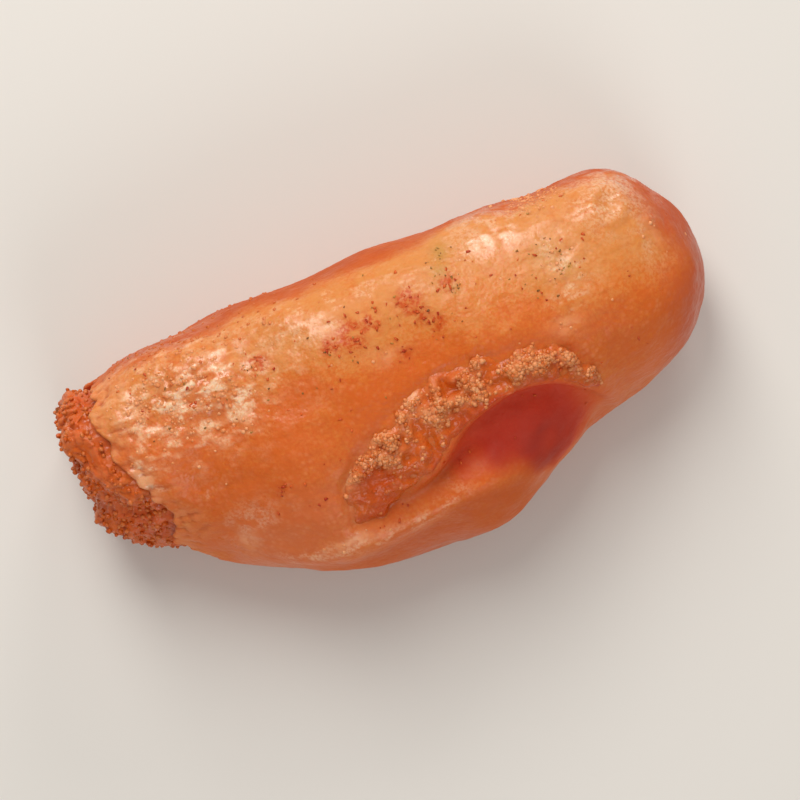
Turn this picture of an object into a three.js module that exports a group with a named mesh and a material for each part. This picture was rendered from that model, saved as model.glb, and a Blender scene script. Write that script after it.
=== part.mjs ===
// Spicy cod roe: one lobe of salted roe, torn open at one end and lying on its flattened underside.
// Millimetres, +Z up. X runs along the lobe, from the torn end (-X) to the rounded tip (+X).
import * as THREE from 'three';

// The lobe as a whole
const tornX = -26;             // where the skin ends, on average
const standOut = 4.8;          // how far the broken roe stands out of the skin
const tipX = 31.5;             // the rounded tip
const capLength = 10;          // the stretch over which the tip rounds off
const ridgeY = 0.8;            // the ridge that the section's four quarters meet on
const middleZ = 8;             // height of the section's widest line
const underDepth = 10.6;       // depth of the round underside before it is pressed flat
const restBlend = 1.1;         // how softly the flank turns into the flat it rests on
const farShoulder = 0.66;      // how full the far side's shoulder is: 1 is round, less is fuller

// Half widths and height, each a base value with a swelling along X
const farSide = { base: 9.3, swell: 2, from: -30, to: 8 };
const nearSide = { base: 8.4, swell: 9, at: -1, spanToTorn: 18.5, spanToTip: 17.5 };
const ridgeHeight = { base: 9.9, swell: 3, at: 1, spanToTorn: 24, spanToTip: 24 };
const swellSharpness = 2.6;

// The slit along the near flank: it climbs towards the tip, then hooks down to the outline.
// Its upper bank is steep and its lower one gentle, and a fold of skin bulges out below it.
const slit = { startX: -9, endX: 16.5, startY: -12.9, rise: 7.9, bend: 1.4, hook: 0.2 };
const slitDepth = 2.8;
const slitBanks = { upper: 1.8, lower: 3 };
const fold = { startX: -17, endX: 14, drop: 4.2, width: 2.4, height: 1 };
const fadeLength = 8;
const slitLead = 2;            // how far past its ends the slit still fades in and out
const flankFrom = { across: 0.05, up: -0.2 };   // where the near flank starts, as cosine and sine
const flankFull = { across: -0.3, up: 0.15 };   // where it has its full relief

// The skin, the roe inside it and the small unevenness of both
const skinThickness = 0.7;
const fitGap = 0.3;
const brokenFace = { bluntness: 7, crowding: 1.5 };
const tornPullBack = { depth: 3.6, from: 0.2, to: -0.9 };   // from and to are cosines

// Unevenness as sums of waves. The first rate is per mm of X or Y, or per radian round the torn
// edge, and the second is per radian or per mm of Z.
const dentWaves = [
  { size: 0.25, first: 0.31, second: 2, phase: 0 },
  { size: 0.15, first: 0.53, second: -3, phase: 1.3 },
];
const toothWaves = [
  { size: 0.5, first: 4, second: 0, phase: 0.4 },
  { size: 0.35, first: 9, second: 0, phase: 0 },
  { size: 0.2, first: 13, second: 0, phase: 2 },
];
const lumpWaves = [
  { size: 0.3, first: 1.15, second: 0.6, phase: 0 },
  { size: 0.3, first: -0.8, second: 0.9, phase: 1 },
];

// How finely the faces are laid out
const stepsAround = 44;
const bodySteps = 19;
const capSteps = 9;
const brokenSteps = 8;

const fullTurn = 2 * Math.PI;

function smoothStep(from, to, value) {
  const share = THREE.MathUtils.clamp((value - from) / (to - from), 0, 1);
  return share * share * (3 - 2 * share);
}

// One at the middle of a swelling, falling to nothing about a span and a half away.
function hump(at, span, value) {
  return Math.exp(-Math.pow(Math.abs(value - at) / span, swellSharpness));
}

// A round ridge or furrow: one on its line, falling off within a width on each side.
function bell(distance, width) {
  return Math.exp(-(distance * distance) / (width * width));
}

function sumOfWaves(waves, first, second) {
  const heightOf = (wave) => wave.size * Math.sin(wave.first * first + wave.second * second + wave.phase);
  return waves.reduce((sum, wave) => sum + heightOf(wave), 0);
}

function swollen(side, x) {
  const span = x < side.at ? side.spanToTorn : side.spanToTip;
  return side.base + side.swell * hump(side.at, span, x);
}

function farWidth(x) {
  return farSide.base + farSide.swell * smoothStep(farSide.from, farSide.to, x);
}

// Where the slit runs, as Y for a place along the lobe.
function slitLine(x) {
  const share = THREE.MathUtils.clamp((x - slit.startX) / (slit.endX - slit.startX), 0, 1);
  const past = Math.max(x - slit.endX, 0);
  return slit.startY + slit.rise * Math.pow(share, slit.bend) - slit.hook * past * past;
}

// How far the near flank stands in or out: down into the slit, up over the fold below it.
function flankRelief(x, y) {
  const above = y - slitLine(x);
  const bank = above > 0 ? slitBanks.upper : slitBanks.lower;
  const slitFade = smoothStep(slit.startX - slitLead, slit.startX + fadeLength, x);
  const slitEnd = 1 - smoothStep(slit.endX - slitLead, slit.endX + fadeLength, x);
  const foldFade = smoothStep(fold.startX, fold.startX + fadeLength, x);
  const foldEnd = 1 - smoothStep(fold.endX, fold.endX + fadeLength, x);
  const furrow = slitDepth * bell(above, bank) * slitFade * slitEnd;
  const ridge = fold.height * bell(above + fold.drop, fold.width) * foldFade * foldEnd;
  return ridge - furrow;
}

// The torn edge of the skin: pulled back on the near side, and ragged all the way round.
function tornLine(angle) {
  const pull = smoothStep(tornPullBack.from, tornPullBack.to, Math.cos(angle));
  return tornX + tornPullBack.depth * pull + sumOfWaves(toothWaves, angle, 0);
}

// Presses the round underside flat on z = 0, with a soft turn where it lifts off.
function pressedFlat(z) {
  const near = Math.max(restBlend - Math.abs(z), 0) / restBlend;
  return Math.max(z, 0) + near * near * restBlend / 4;
}

// A point of the lobe's section at x, a share of the way out from its middle line.
// flankShare is how much of the slit and the fold it shows: all of it, or none for the bare form.
function sectionPoint(x, angle, share, flankShare = 1) {
  const across = Math.cos(angle);
  const up = Math.sin(angle);
  const width = across > 0 ? farWidth(x) - ridgeY : swollen(nearSide, x) + ridgeY;
  const height = up > 0 ? swollen(ridgeHeight, x) : underDepth;
  const fullness = across > 0 && up > 0 ? farShoulder : 1;
  const outward = Math.sign(across) * Math.pow(Math.abs(across), fullness);
  const upward = Math.sign(up) * Math.pow(Math.abs(up), fullness);
  const facingNear = smoothStep(flankFrom.across, flankFull.across, across);
  const onFlank = facingNear * smoothStep(flankFrom.up, flankFull.up, up);
  const flatY = ridgeY + share * width * outward;
  const relief = sumOfWaves(dentWaves, x, angle) + flankShare * onFlank * flankRelief(x, flatY);
  const y = flatY + share * relief * across;
  const z = middleZ + share * (height * upward + relief * up);
  return new THREE.Vector3(x, y, pressedFlat(z));
}

// The skin's outside. along is 0 at the torn edge and 1 at the tip, where the ring closes.
function outsidePoint(along, angle, flankShare = 1) {
  const bodyShare = bodySteps / (bodySteps + capSteps);
  const capX = tipX - capLength;
  if (along <= bodyShare) {
    const x = THREE.MathUtils.lerp(tornLine(angle), capX, along / bodyShare);
    return sectionPoint(x, angle, 1, flankShare);
  }
  const turn = (along - bodyShare) / (1 - bodyShare) * Math.PI / 2;
  return sectionPoint(capX + capLength * Math.sin(turn), angle, Math.cos(turn), flankShare);
}

// The bare form's outward normal. The layers of the lobe are stacked along it, because it turns
// slowly even where the slit is steep, so that they never cross.
function stackingNormal(along, angle) {
  if (along >= 1) {
    return new THREE.Vector3(1, 0, 0);
  }
  const step = 1e-3;
  const ahead = outsidePoint(along + step, angle, 0);
  const behind = outsidePoint(Math.max(along - step, 0), angle, 0);
  const lengthwise = ahead.sub(behind);
  const crosswise = outsidePoint(along, angle + step, 0).sub(outsidePoint(along, angle - step, 0));
  return crosswise.cross(lengthwise).normalize();
}

// A point of the skin's outside, or of a layer some depth below it.
function surfacePoint(along, angle, depth) {
  return outsidePoint(along, angle).addScaledVector(stackingNormal(along, angle), -depth);
}

// The broken roe beyond the torn edge: it keeps the lobe's section, then a blunt, lumpy face closes
// it. inward is 0 at the torn edge and 1 at the middle of the face, where the ring closes.
function brokenPoint(inward, angle) {
  const share = 1 - Math.pow(inward, brokenFace.crowding);
  const reach = Math.sqrt(1 - Math.pow(share, brokenFace.bluntness));
  const x = THREE.MathUtils.lerp(tornX, tornLine(angle), share) - standOut * reach;
  const rim = sectionPoint(x, angle, 1);
  rim.addScaledVector(stackingNormal(0, angle), -skinThickness - fitGap);
  const point = sectionPoint(x, 0, 0).lerp(rim, share);
  const deepest = lumpWaves.reduce((sum, wave) => sum + wave.size, 0);
  point.x += (deepest - sumOfWaves(lumpWaves, point.y, point.z)) * reach;
  return point;
}

// A closed mesh from rings of points that run from one pole to another: a pole is a ring of one.
// From turnRow on the rings run back along the lobe, so their quads are split the other way, and
// stacked layers keep parallel faces.
function ringMesh(rings, turnRow) {
  const starts = [];
  let count = 0;
  for (const ring of rings) {
    starts.push(count);
    count += ring.length;
  }
  const corner = (row, index) => starts[row] + (rings[row].length > 1 ? index : 0);
  const faces = [];
  for (let row = 0; row < rings.length - 1; row += 1) {
    for (let i = 0; i < stepsAround; i += 1) {
      const j = (i + 1) % stepsAround;
      const [a, b] = [corner(row, i), corner(row, j)];
      const [c, d] = [corner(row + 1, j), corner(row + 1, i)];
      const halves = row < turnRow ? [[a, c, b], [a, d, c]] : [[a, d, b], [b, d, c]];
      for (const half of halves.filter((corners) => new Set(corners).size === 3)) {
        faces.push(...half);
      }
    }
  }
  const positions = rings.flat().flatMap((point) => point.toArray());
  const geometry = new THREE.BufferGeometry();
  geometry.setAttribute('position', new THREE.Float32BufferAttribute(positions, 3));
  geometry.setIndex(faces);
  geometry.computeVertexNormals();
  return geometry;
}

// One ring of points round the lobe, or the single point of a pole.
function ring(pointAt, isPole) {
  const count = isPole ? 1 : stepsAround;
  return Array.from({ length: count }, (_, i) => pointAt(i * fullTurn / stepsAround));
}

// Rings of the lobe's surface at one depth, from the tip's pole to the torn edge.
function surfaceRings(depth) {
  const steps = bodySteps + capSteps;
  const rings = [];
  for (let row = steps; row >= 0; row -= 1) {
    rings.push(ring((angle) => surfacePoint(row / steps, angle, depth), row === steps));
  }
  return rings;
}

// The skin: along its outside from the tip to the torn edge, and back along its inside.
function makeSkin() {
  const outside = surfaceRings(0);
  const inside = surfaceRings(skinThickness).reverse();
  return ringMesh([...outside, ...inside], outside.length);
}

// The roe: what fills the skin from its tip, then the broken face that stands out of the torn edge.
function makeRoe() {
  const rings = surfaceRings(skinThickness + fitGap);
  for (let row = 1; row <= brokenSteps; row += 1) {
    rings.push(ring((angle) => brokenPoint(row / brokenSteps, angle), row === brokenSteps));
  }
  return ringMesh(rings, rings.length);
}

const materials = {
  skin: new THREE.MeshStandardMaterial({ color: 0xd9834a, roughness: 0.25, metalness: 0 }),
  roe: new THREE.MeshStandardMaterial({ color: 0xe09a5c, roughness: 0.5, metalness: 0 }),
};

const lobe = new THREE.Group();
const skin = new THREE.Mesh(makeSkin(), materials.skin);
skin.name = 'sac_membrane';
const roe = new THREE.Mesh(makeRoe(), materials.roe);
roe.name = 'egg_mass';
lobe.add(skin, roe);

// The origin is the middle of the underside.
const box = new THREE.Box3().setFromObject(lobe);
const middle = box.getCenter(new THREE.Vector3());
lobe.position.set(-middle.x, -middle.y, -box.min.z);
lobe.updateMatrixWorld(true);

export default lobe;
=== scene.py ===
# Spicy cod roe: one torn lobe in its wet skin, lying on its flattened underside. Its left end is
# broken open, a slit along its flank shows loose grains and chili, and pepper sticks to its top.
# Lengths are in mm until a mesh is made, and the frame is in metres.
import math

import bpy
import numpy as np
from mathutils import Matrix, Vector


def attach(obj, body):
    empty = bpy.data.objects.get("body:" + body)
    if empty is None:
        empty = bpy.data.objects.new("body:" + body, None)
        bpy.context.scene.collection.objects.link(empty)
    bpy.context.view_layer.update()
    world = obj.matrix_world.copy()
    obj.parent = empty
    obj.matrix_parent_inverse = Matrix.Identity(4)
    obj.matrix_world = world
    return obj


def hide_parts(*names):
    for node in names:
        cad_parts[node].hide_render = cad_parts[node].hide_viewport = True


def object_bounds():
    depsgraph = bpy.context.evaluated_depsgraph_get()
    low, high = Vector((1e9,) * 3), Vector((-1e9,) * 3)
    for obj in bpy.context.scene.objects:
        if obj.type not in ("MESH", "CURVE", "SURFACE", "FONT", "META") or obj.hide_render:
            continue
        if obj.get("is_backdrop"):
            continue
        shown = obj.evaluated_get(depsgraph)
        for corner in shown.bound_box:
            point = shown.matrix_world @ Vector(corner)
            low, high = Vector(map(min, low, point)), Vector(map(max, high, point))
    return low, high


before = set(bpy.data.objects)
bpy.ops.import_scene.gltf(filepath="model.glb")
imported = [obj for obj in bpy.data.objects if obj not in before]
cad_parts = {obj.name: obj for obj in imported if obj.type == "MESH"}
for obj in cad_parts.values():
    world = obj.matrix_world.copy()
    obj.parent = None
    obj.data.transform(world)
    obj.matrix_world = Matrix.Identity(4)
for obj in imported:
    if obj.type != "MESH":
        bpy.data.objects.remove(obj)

cadLow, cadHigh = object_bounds()
mm = 0.001
fullTurn = 2 * math.pi

# The lobe's form: X runs from the torn end to the rounded tip, and Y towards its straight far side.
lobe = {
    "tornX": -26,          # where the skin ends, on average
    "standOut": 4.3,       # how far the broken roe stands out of it
    "tipX": 31.5,
    "capLength": 10,       # the stretch over which the tip rounds off
    "bodyShare": 0.82,     # the share of the rows that lies before it
    "ridgeY": 0.8,
    "middleZ": 8,
    "underDepth": 10.6,    # the round underside before it is pressed flat
    "restBlend": 1.1,
    "flatTop": 2.6,        # the power that makes its swellings flat-topped
    "farShoulder": 0.66,   # 1 is a round shoulder, less a fuller one
    "far": {"base": 9.3, "swell": 2, "from": -30, "to": 8},
    "near": {"base": 8.4, "swell": 9, "at": -1, "spans": (18.5, 17.5)},
    "ridge": {"base": 9.9, "swell": 3, "at": 1, "spans": (24, 24)},
    "dentWaves": ((0.25, 0.31, 2, 0), (0.15, 0.53, -3, 1.3)),
    "farFill": (-9, 9, 0.55),      # X, half length and height of a slight swelling of the far side
    "trim": 0.3,           # room left under the frame's surface for grains and flakes
}
tipEnd = lobe["tipX"] - lobe["trim"]

# The hollow on the near flank, with a steep bank under its upper edge, and the lip of skin that
# bounds it below. Edges are curves in plan, as X and Y of points along them.
hollow = {
    "edge": ((-12, -8.5, -5, -2, 1.6, 4.3, 7.5, 11.2, 14.4, 17.1, 20),
             (-10.6, -12, -12.5, -11.3, -9.6, -7.6, -6, -5.2, -5.8, -7.6, -10)),
    "depth": 2.6, "grows": (-2.5, 8), "ends": (13, 20.5), "bank": 1.9,
    "shortRise": 2.6, "longRise": 5.6, "lengthens": (-3, 9),
    "foot": ((-3, 2, 5, 10, 15, 22), (-12.6, -11.3, -11.4, -12.6, -13.2, -13.2)),
    "lip": ((-20, -17, -13.5, -9, -4, 0, 4, 9, 14),
            (-9.6, -11.6, -13, -13.8, -14, -13.5, -12.5, -12, -11.8)),
    "lipHeight": 0.7, "lipWidth": 1.1, "lipFrom": (-20, -12.5), "lipTo": (4, 11),
    "lipDip": 0.8, "dipWidth": 1, "dipAbove": 1.6, "dipGrows": (-9, 0),
    "flankTurn": (-0.05, 0.3), "flankRise": (-0.2, 0.15),      # cosines and sines where the flank begins
    "layerRoom": 0.3,      # further depth for the layers under it
}
# The strip of bare grains above the hollow, from its upper edge down to the hollow's, with the
# clumps of pale grains in it and the clear jelly at its foot as round spots (X, Y, radius).
streak = {
    "upper": ((-10, -8.3, -5, -2.5, 1.6, 5.9, 9.6, 13.3, 17.1, 19.4),
              (-10.4, -9, -6, -4.3, -2.3, -1.2, -1.6, -1.7, -3.9, -7.4)),
    "from": -8.6, "to": 19,
    "clumps": ((-6.4, -7.9, 1.3), (-5, -6.3, 1.4), (-3.4, -7.2, 1.4), (-2.4, -5.6, 1.1),
               (-0.4, -4.4, 0.9), (1.2, -3, 0.9), (3.2, -5.2, 1.4), (7.2, -4.6, 1.6),
               (11.2, -2.8, 1.3), (13.3, -3.1, 1.2), (15.6, -4.3, 0.8)),
    "jelly": ((-1.2, -9.4, 1.7), (1.4, -8.4, 1.6), (3.8, -7.2, 1.2), (6.2, -6.3, 1)),
    "red": ((-4.1, -9.6, 1.3), (-3.9, -11.2, 1.2), (-4.6, -8.4, 0.7)),
}

# The torn edge of the skin: pulled back on the near side, with an uneven edge all the way round.
tornEdge = {
    "radius": 9, "pullBack": 3.6, "from": 0.2, "to": -0.9,
    "teeth": ((0.5, 4, 0.4), (0.35, 9, 0), (0.2, 13, 2)),
    "fray": ((0.55, 1.7, 81), (0.3, 0.7, 82)),      # amount, size and seed of noises
}

egg = {"jitter": 0.62, "reach": 0.73, "seed": 11}     # jitter and reach as shares of the spacing


def ease(low, high, value):  # 0 at low and 1 at high, with an S curve between them
    share = np.clip((value - low) / (high - low), 0, 1)
    return share * share * (3 - 2 * share)


def bell(distance, width):  # 1 on the line, falling off within a width on each side
    return np.exp(-(distance / width) ** 2)


def swollen(side, x):  # a base value plus a flat-topped swelling along X
    span = np.where(x < side["at"], *side["spans"])
    return side["base"] + side["swell"] * np.exp(-(np.abs(x - side["at"]) / span) ** lobe["flatTop"])


def farEdge(x):  # Y of the far side's outline, an S curve from one width to another
    far = lobe["far"]
    return far["base"] + far["swell"] * ease(far["from"], far["to"], x)


def through(points, x):
    # a smooth curve through points: each stretch is a cubic that takes the slopes at its ends from
    # the points on either side
    px, py = (np.array(values, float) for values in points)
    slopes = np.gradient(py, px)
    i = np.clip(np.searchsorted(px, x) - 1, 0, len(px) - 2)
    gap = px[i + 1] - px[i]
    t = np.clip((x - px[i]) / gap, 0, 1)
    bend = gap * t * (1 - t) * ((1 - t) * slopes[i] - t * slopes[i + 1])
    return py[i] + (py[i + 1] - py[i]) * t * t * (3 - 2 * t) + bend


def between(begins, ends, x):  # 0 before a stretch of X and after it, 1 along its middle
    return ease(*begins, x) * (1 - ease(*ends, x))


def hollowShare(x, y):  # 1 at the foot of the bank under the hollow's edge, then a slow rise to 0
    below = through(hollow["edge"], x) - y
    longer = (hollow["longRise"] - hollow["shortRise"]) * ease(*hollow["lengthens"], x)
    riseEnd = hollow["bank"] + (hollow["shortRise"] + longer)
    share = ease(0, hollow["bank"], below) * (1 - ease(hollow["bank"], riseEnd, below))
    return share * between(hollow["grows"], hollow["ends"], x)


def flankRelief(x, y):
    # minus the hollow, plus a bell along the lip, and another taken out above it where it folds over
    fromLip = y - through(hollow["lip"], x)
    dip = hollow["lipDip"] * ease(*hollow["dipGrows"], x)
    dip = dip * bell(fromLip - hollow["dipAbove"], hollow["dipWidth"])
    lip = hollow["lipHeight"] * bell(fromLip, hollow["lipWidth"]) - dip
    return lip * between(hollow["lipFrom"], hollow["lipTo"], x) - hollow["depth"] * hollowShare(x, y)


def tornLine(angle):  # X of the torn edge: an S curve round the near side, sine teeth and noise
    pull = ease(0, 1, (np.cos(angle) - tornEdge["from"]) / (tornEdge["to"] - tornEdge["from"]))
    teeth = sum(size * np.sin(rate * angle + phase) for size, rate, phase in tornEdge["teeth"])
    ring = tornEdge["radius"] * np.stack([np.cos(angle), np.sin(angle), 0 * angle], -1)
    return lobe["tornX"] + tornEdge["pullBack"] * pull + teeth + layered(ring, tornEdge["fray"])


def pressedFlat(z):  # the greater of z and 0, with a soft turn between them
    near = np.maximum(lobe["restBlend"] - np.abs(z), 0) / lobe["restBlend"]
    return np.maximum(z, 0) + near ** 2 * lobe["restBlend"] / 4


def keepAbove(points, lowest):  # lifts what lies lower than a Z
    points[..., 2] = np.maximum(points[..., 2], lowest)


def sectionPoints(x, angle, share, flankShare=1):
    # four elliptical quarters meet on the ridge, the far upper one drawn fuller by a power of its
    # sine and cosine; dents, the far side's swelling and the flank's relief are pushed straight
    # out, then the base is pressed flat
    across, up, ridgeY = np.cos(angle), np.sin(angle), lobe["ridgeY"]
    width = np.where(across > 0, farEdge(x) - ridgeY, swollen(lobe["near"], x) + ridgeY)
    height = np.where(up > 0, swollen(lobe["ridge"], x) - lobe["trim"], lobe["underDepth"])
    power = np.where((across > 0) & (up > 0), lobe["farShoulder"], 1)
    outward = np.sign(across) * np.abs(across) ** power
    upward = np.sign(up) * np.abs(up) ** power
    flatY = ridgeY + share * (width - lobe["trim"]) * outward
    onFlank = ease(*hollow["flankTurn"], -across) * ease(*hollow["flankRise"], up)
    relief = sum(size * np.sin(a * x + b * angle + phase) for size, a, b, phase in lobe["dentWaves"])
    fillX, fillLength, filling = lobe["farFill"]
    relief = relief + filling * bell(x - fillX, fillLength) * ease(0.3, 0.8, across)
    relief = relief + flankShare * onFlank * flankRelief(x, flatY)
    y = flatY + share * relief * across
    z = lobe["middleZ"] + share * (height * upward + relief * up)
    return np.stack([x + 0 * y, y, pressedFlat(z)], -1)


def outsidePoints(along, angle, flankShare=1):
    # along runs from 0 at the torn edge to 1 at the tip, which closes as a quarter ellipse
    capX = lobe["tipX"] - lobe["capLength"]
    bodyShare = lobe["bodyShare"]
    turn = np.clip((along - bodyShare) / (1 - bodyShare), 0, 1) * math.pi / 2
    body = tornLine(angle) + (capX - tornLine(angle)) * np.minimum(along / bodyShare, 1)
    cap = capX + (lobe["capLength"] - lobe["trim"]) * np.sin(turn)
    return sectionPoints(np.where(along <= bodyShare, body, cap), angle, np.cos(turn), flankShare)


def unit(vectors):  # the same directions, each with a length of 1
    return vectors / np.maximum(np.linalg.norm(vectors, axis=-1, keepdims=True), 1e-12)


def gridNormals(points):  # outward normals of a grid, with rows along the lobe and columns round it
    crosswise = np.roll(points, -1, 1) - np.roll(points, 1, 1)
    return unit(np.cross(crosswise, np.gradient(points, axis=0)))


def layerPoints(along, angle, depth):
    # a layer under the skin's outside, moved in along the normals of the form without its hollow
    # and a further hollow's depth on the flank, so that layers never cross
    bare = outsidePoints(along, angle, 0)
    onFlank = ease(0, 0.35, -np.cos(angle)) * ease(-0.35, 0, np.sin(angle))
    extra = (hollow["depth"] + hollow["layerRoom"]) * onFlank * ease(0.04, 0.3, along)
    points = bare - gridNormals(bare) * (depth + extra)[..., None]
    keepAbove(points, depth)
    return points


cellPrimes, seedPrime = (73856093, 19349663, 83492791), 2654435761
mixSteps = ((15, 2246822519), (13, 3266489917))      # shifts in bits, and primes
wordBits, numberBits = 0xFFFFFFFF, 0xFFFFFF


def hashed(cells, seed):
    # a number from 0 to 1 for each whole-numbered cell: its indices and the seed are multiplied by
    # large primes, combined bit by bit and mixed twice
    h = np.bitwise_xor.reduce(cells.astype(np.int64) * cellPrimes, axis=-1) ^ seed * seedPrime
    for bits, prime in mixSteps:
        h = (h & wordBits) * prime & wordBits
        h = h ^ (h >> bits)
    return (h & numberBits) / float(numberBits)


def mottle(points, size, seed, stretch=(1, 1, 1)):
    # smooth noise from -1 to 1: hashed values at the corners of cubes, blended by S curves
    scaled = points / (size * np.array(stretch))
    base = np.floor(scaled)
    t = scaled - base
    t = t * t * (3 - 2 * t)
    total = np.zeros(points.shape[:-1])
    for corner in np.ndindex(2, 2, 2):
        weight = np.prod(np.where(np.array(corner) == 1, t, 1 - t), -1)
        total += weight * hashed(base + corner, seed)
    return total * 2 - 1


def layered(points, layers):  # a sum of noises, from the amount, size, seed and stretch of each
    return sum(amount * mottle(points, *settings) for amount, *settings in layers)


def eggField(points, spacing):
    # the nearest grain to each point. Grains stand one to a cube, moved off its middle by hashed
    # amounts. Gives the distance to it, its centre, and a number from 0 to 1 of its own.
    scaled = points / spacing
    base = np.floor(scaled)
    nearest = np.full(points.shape[:-1], np.inf)
    centre = np.zeros(points.shape)
    number = np.zeros(points.shape[:-1])
    for step in np.ndindex(3, 3, 3):
        cell = base + step - 1
        moves = [hashed(cell, egg["seed"] + k) - 0.5 for k in range(3)]
        place = cell + 0.5 + egg["jitter"] * np.stack(moves, -1)
        distance = np.linalg.norm(scaled - place, axis=-1)
        closer = distance < nearest
        nearest = np.where(closer, distance, nearest)
        centre = np.where(closer[..., None], place, centre)
        number = np.where(closer, hashed(cell, egg["seed"] + 7), number)
    return nearest, centre * spacing, number


def eggBumps(nearest):  # a round cap over each grain, from 0 between grains to 1 on top of one
    return np.sqrt(np.clip(1 - (nearest / egg["reach"]) ** 2, 0, 1))


def addObject(name, data):
    thing = bpy.data.objects.new(name, data)
    bpy.context.scene.collection.objects.link(thing)
    return thing


def meshPiece(name, vertices, faceGroups, attributes, material):
    # one mesh from arrays of quads and triangles, with a number for each vertex per attribute
    mesh = bpy.data.meshes.new(name)
    faces = [face for group in faceGroups for face in group.tolist()]
    mesh.from_pydata(((vertices + shift) * mm).tolist(), [], faces)
    mesh.shade_smooth()
    for key, values in attributes.items():
        layer = mesh.attributes.new(key, "FLOAT", "POINT")
        layer.data.foreach_set("value", np.clip(values, 0, 1).astype(np.float32).ravel())
    mesh.materials.append(material)
    mesh.validate()
    piece = addObject(name, mesh)
    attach(piece, "root")
    print(f"{name}: {len(vertices)} vertices, {sum(len(face) - 2 for face in faces)} triangles")
    return piece


def closedRings(rings, values, startPole, endPole):
    # a closed body from rings of points: outward quads between neighbouring rings and a fan to a
    # pole at each end, with the values' means at the poles
    rows, around = rings.shape[:2]
    corner = np.arange(rows * around).reshape(rows, around)
    after = np.roll(corner, -1, 1)
    quads = np.stack([corner[:-1], after[:-1], after[1:], corner[1:]], -1).reshape(-1, 4)
    start = np.stack([np.full(around, corner.size), after[0], corner[0]], -1)
    end = np.stack([corner[-1], after[-1], np.full(around, corner.size + 1)], -1)
    vertices = np.concatenate([rings.reshape(-1, 3), [startPole], [endPole]])
    numbers = {key: np.concatenate([value.ravel(), [value[0].mean(), value[-1].mean()]])
               for key, value in values.items()}
    return vertices, [quads, np.concatenate([start, end])], numbers


def newMaterial(name):
    material = bpy.data.materials.new(name)
    material.use_nodes = True
    return material, material.node_tree, material.node_tree.nodes["Principled BSDF"]


def feed(tree, target, source):  # a link from a socket, or a plain value
    if isinstance(source, bpy.types.NodeSocket):
        tree.links.new(source, target)
    else:
        target.default_value = source


def mixColours(tree, share, first, second):
    node = tree.nodes.new("ShaderNodeMix")
    node.data_type = "RGBA"
    feed(tree, node.inputs[0], share)
    feed(tree, node.inputs[6], first)
    feed(tree, node.inputs[7], second)
    return node.outputs[2]


def arithmetic(tree, operation, first, *others):  # a chain of maths from left to right
    for other in others:
        node = tree.nodes.new("ShaderNodeMath")
        node.operation = operation
        feed(tree, node.inputs[0], first)
        feed(tree, node.inputs[1], other)
        first = node.outputs[0]
    return first


def rescale(tree, value, low, high, toLow=0, toHigh=1):  # low to high becomes toLow to toHigh
    node = tree.nodes.new("ShaderNodeMapRange")
    feed(tree, node.inputs["Value"], value)
    for socket, number in zip(("From Min", "From Max", "To Min", "To Max"), (low, high, toLow, toHigh)):
        feed(tree, node.inputs[socket], number)
    return node.outputs["Result"]


def mask(tree, name):
    node = tree.nodes.new("ShaderNodeAttribute")
    node.attribute_name = name
    return node.outputs["Fac"]


def pattern(tree, kind, size):  # a texture on Object coordinates with features about size mm wide
    node = tree.nodes.new(kind)
    node.inputs["Scale"].default_value = 1 / (size * mm)
    tree.links.new(tree.nodes.new("ShaderNodeTexCoord").outputs["Object"], node.inputs["Vector"])
    return node


def noise(tree, size, detail=2, roughness=0.5):
    node = pattern(tree, "ShaderNodeTexNoise", size)
    node.inputs["Detail"].default_value = detail
    node.inputs["Roughness"].default_value = roughness
    return node.outputs["Fac"]


def speckle(tree, size):  # distance from the middle of each cell
    return pattern(tree, "ShaderNodeTexVoronoi", size).outputs["Distance"]


def newGroup(name, inputs, outputs):
    # a shader node group, from the default value of each input and the socket type of each output
    group = bpy.data.node_groups.new(name, "ShaderNodeTree")
    for label, value in inputs.items():
        kind = "NodeSocketColor" if isinstance(value, tuple) else "NodeSocketFloat"
        group.interface.new_socket(name=label, in_out="INPUT", socket_type=kind).default_value = value
    for label, kind in outputs.items():
        group.interface.new_socket(name=label, in_out="OUTPUT", socket_type=kind)
    return group, group.nodes.new("NodeGroupInput").outputs, group.nodes.new("NodeGroupOutput").inputs


def useGroup(tree, group, **values):
    node = tree.nodes.new("ShaderNodeGroup")
    node.node_tree = group
    for label, source in values.items():
        feed(tree, node.inputs[label], source)
    return node.outputs


# Base colours in linear light. Peach is partly the crest's own paler skin and partly painted light on its
# lit top. Deep orange is painted shade between grains, in furrows, along rims and folds and low down, and
# also a darker tone of single grains. Crimson is painted shade in the hollow, on the strip's foot and low
# on the broken roe, and also the chili clump's red. The dark red is painted deeper shade in the hollow, and
# cream is a painted highlight.
colours = {
    "peach": (0.68, 0.25, 0.058, 1),
    "orange": (0.64, 0.122, 0.010, 1),
    "amber": (0.67, 0.170, 0.020, 1),
    "rose": (0.68, 0.170, 0.055, 1),
    "paleEgg": (0.84, 0.38, 0.18, 1),
    "deepOrange": (0.48, 0.072, 0.006, 1),
    "crimson": (0.6, 0.034, 0.012, 1),
    "chili": (0.56, 0.076, 0.002, 1),
    "olive": (0.44, 0.24, 0.035, 1),
    "darkRedShade": (0.28, 0.016, 0.009, 1),
    "cream": (0.88, 0.56, 0.36, 1),
}


def makeTintGroup():
    # over the base colour, each layer's own colour is laid as a plain mix by its mask: the pale layer is
    # pale grains and painted highlight, the gap layer mostly painted shade, the depth layer painted shade
    # and the chili clump's red
    layers = {"Pale": "paleEgg", "Gap": "deepOrange", "Depth": "crimson", "Chili": "chili"}
    inputs = {"Base": colours["orange"], **dict.fromkeys(layers, 0)}
    group, given, result = newGroup("roeTint", inputs, {"Color": "NodeSocketColor"})
    tint = given["Base"]
    for label, colour in layers.items():
        tint = mixColours(group, given[label], tint, colours[colour])
    group.links.new(tint, result["Color"])
    return group


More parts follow.
